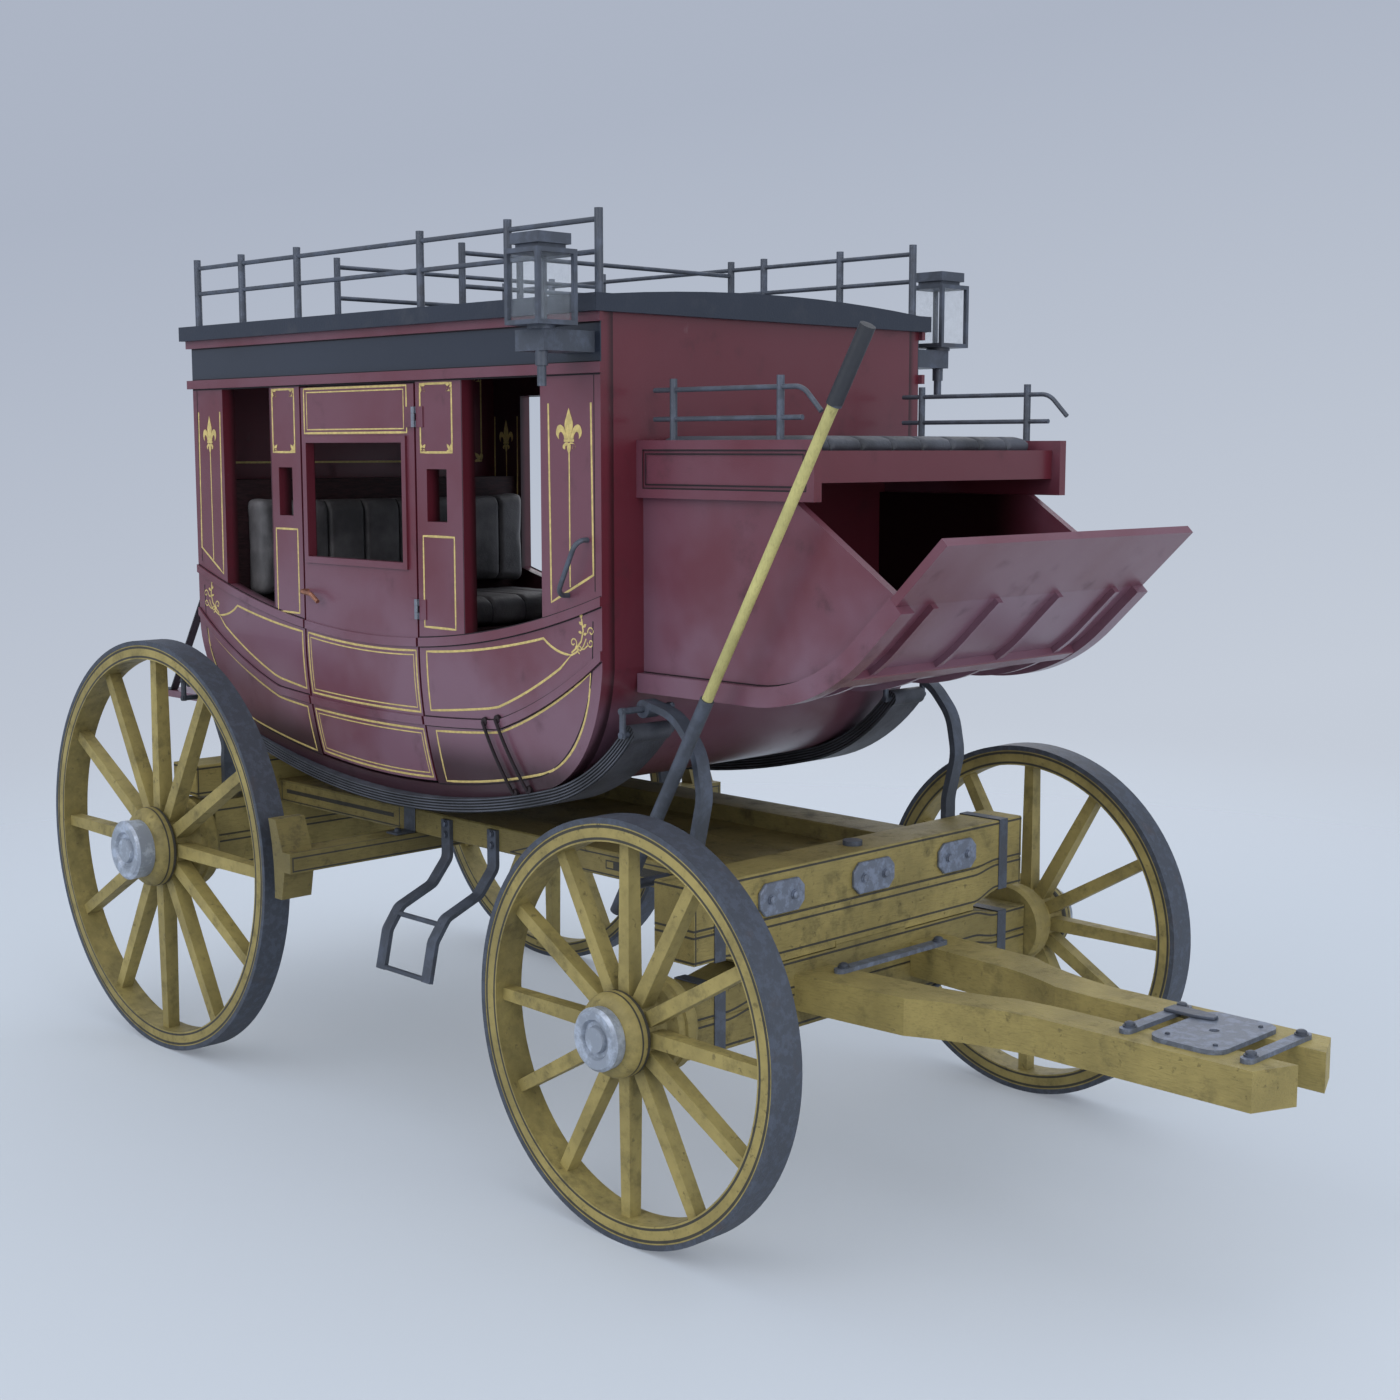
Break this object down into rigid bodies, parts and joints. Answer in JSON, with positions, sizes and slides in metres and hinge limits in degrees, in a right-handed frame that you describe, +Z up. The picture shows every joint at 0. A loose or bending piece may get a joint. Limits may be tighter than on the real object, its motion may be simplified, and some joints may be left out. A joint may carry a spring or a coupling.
{
  "type": "stagecoach",
  "caption": "Stagecoach with a hull-shaped wine-red cabin hung on leather straps over a yellow wooden running gear with spoked wheels.",
  "frame": {"origin": "on the floor, at the bottom centre of the bounding box", "axes": "+X forward to the tips of the hounds, +Y to the coach's left, +Z up"},
  "size_m": [4.4364, 2.01, 2.64],
  "materials": {
    "coach_paint": "satin",
    "roof_paint": "satin",
    "black_iron": "satin",
    "tyre_iron": "matte",
    "gear_paint": "matte",
    "strap_leather": "satin",
    "dark_wood": "satin",
    "lamp_glass": "gloss",
    "handle_copper": "satin"
  },
  "bodies": {
    "coach": {"roof": "roof_paint", "roof_rail": "black_iron", "side_left": "coach_paint", "side_right": "coach_paint", "front_wall": "coach_paint", "rear_wall": "coach_paint", "hull": "coach_paint", "cabin_floor": "dark_wood", "mouldings_left": "coach_paint", "mouldings_right": "coach_paint", "hinge_posts": "black_iron", "grab_handles": "black_iron", "benches": "dark_wood", "cushions": "strap_leather", "front_boot": "coach_paint", "footboard": "coach_paint", "driver_seat": "coach_paint", "driver_cushion": "strap_leather", "seat_rails": "black_iron", "lamps": "black_iron", "lamp_panes": "lamp_glass", "thoroughbraces": "strap_leather", "standards": "black_iron", "strap_rings": "black_iron", "perches": "gear_paint", "frame_boards": "gear_paint", "front_bolster": "gear_paint", "kingpin": "black_iron", "rear_bolster": "gear_paint", "rear_axle": "gear_paint", "brake_gear": "gear_paint", "brake_lever": "black_iron", "lever_shaft": "gear_paint", "steps": "black_iron", "rear_platform": "coach_paint", "platform_hangers": "strap_leather"},
    "front_axle": {"front_axle": "gear_paint", "hounds": "gear_paint", "hound_irons": "black_iron"},
    "wheel_front_left": {"tyre_front_left": "tyre_iron", "wheel_front_left": "gear_paint", "hub_cap_front_left": "tyre_iron"},
    "wheel_front_right": {"tyre_front_right": "tyre_iron", "wheel_front_right": "gear_paint", "hub_cap_front_right": "tyre_iron"},
    "wheel_rear_left": {"tyre_rear_left": "tyre_iron", "wheel_rear_left": "gear_paint", "hub_cap_rear_left": "tyre_iron"},
    "wheel_rear_right": {"tyre_rear_right": "tyre_iron", "wheel_rear_right": "gear_paint", "hub_cap_rear_right": "tyre_iron"},
    "door_left": {"door_left": "coach_paint", "door_handle_left": "handle_copper", "hinge_leaves_left": "black_iron"},
    "door_right": {"door_right": "coach_paint", "door_handle_right": "handle_copper", "hinge_leaves_right": "black_iron"}
  },
  "joints": [
    {"name": "steering", "type": "hinge", "parent": "coach", "child": "front_axle", "pos_m": [0.79825, 0, 0.6], "axis": [0, 0, 1], "range_deg": [-20, 20]},
    {"name": "wheel_front_left", "type": "hinge", "parent": "front_axle", "child": "wheel_front_left", "pos_m": [0.79825, 0.85, 0.551], "axis": [0, 1, 0], "continuous": true},
    {"name": "wheel_front_right", "type": "hinge", "parent": "front_axle", "child": "wheel_front_right", "pos_m": [0.79825, -0.85, 0.551], "axis": [0, 1, 0], "continuous": true},
    {"name": "wheel_rear_left", "type": "hinge", "parent": "coach", "child": "wheel_rear_left", "pos_m": [-1.52575, 0.85, 0.6925], "axis": [0, 1, 0], "continuous": true},
    {"name": "wheel_rear_right", "type": "hinge", "parent": "coach", "child": "wheel_rear_right", "pos_m": [-1.52575, -0.85, 0.6925], "axis": [0, 1, 0], "continuous": true},
    {"name": "door_left", "type": "hinge", "parent": "coach", "child": "door_left", "pos_m": [-0.33925, 0.664, 1.8], "axis": [0, 0, -1], "range_deg": [0, 100]},
    {"name": "door_right", "type": "hinge", "parent": "coach", "child": "door_right", "pos_m": [-0.33925, -0.664, 1.8], "axis": [0, 0, 1], "range_deg": [0, 100]}
  ]
}
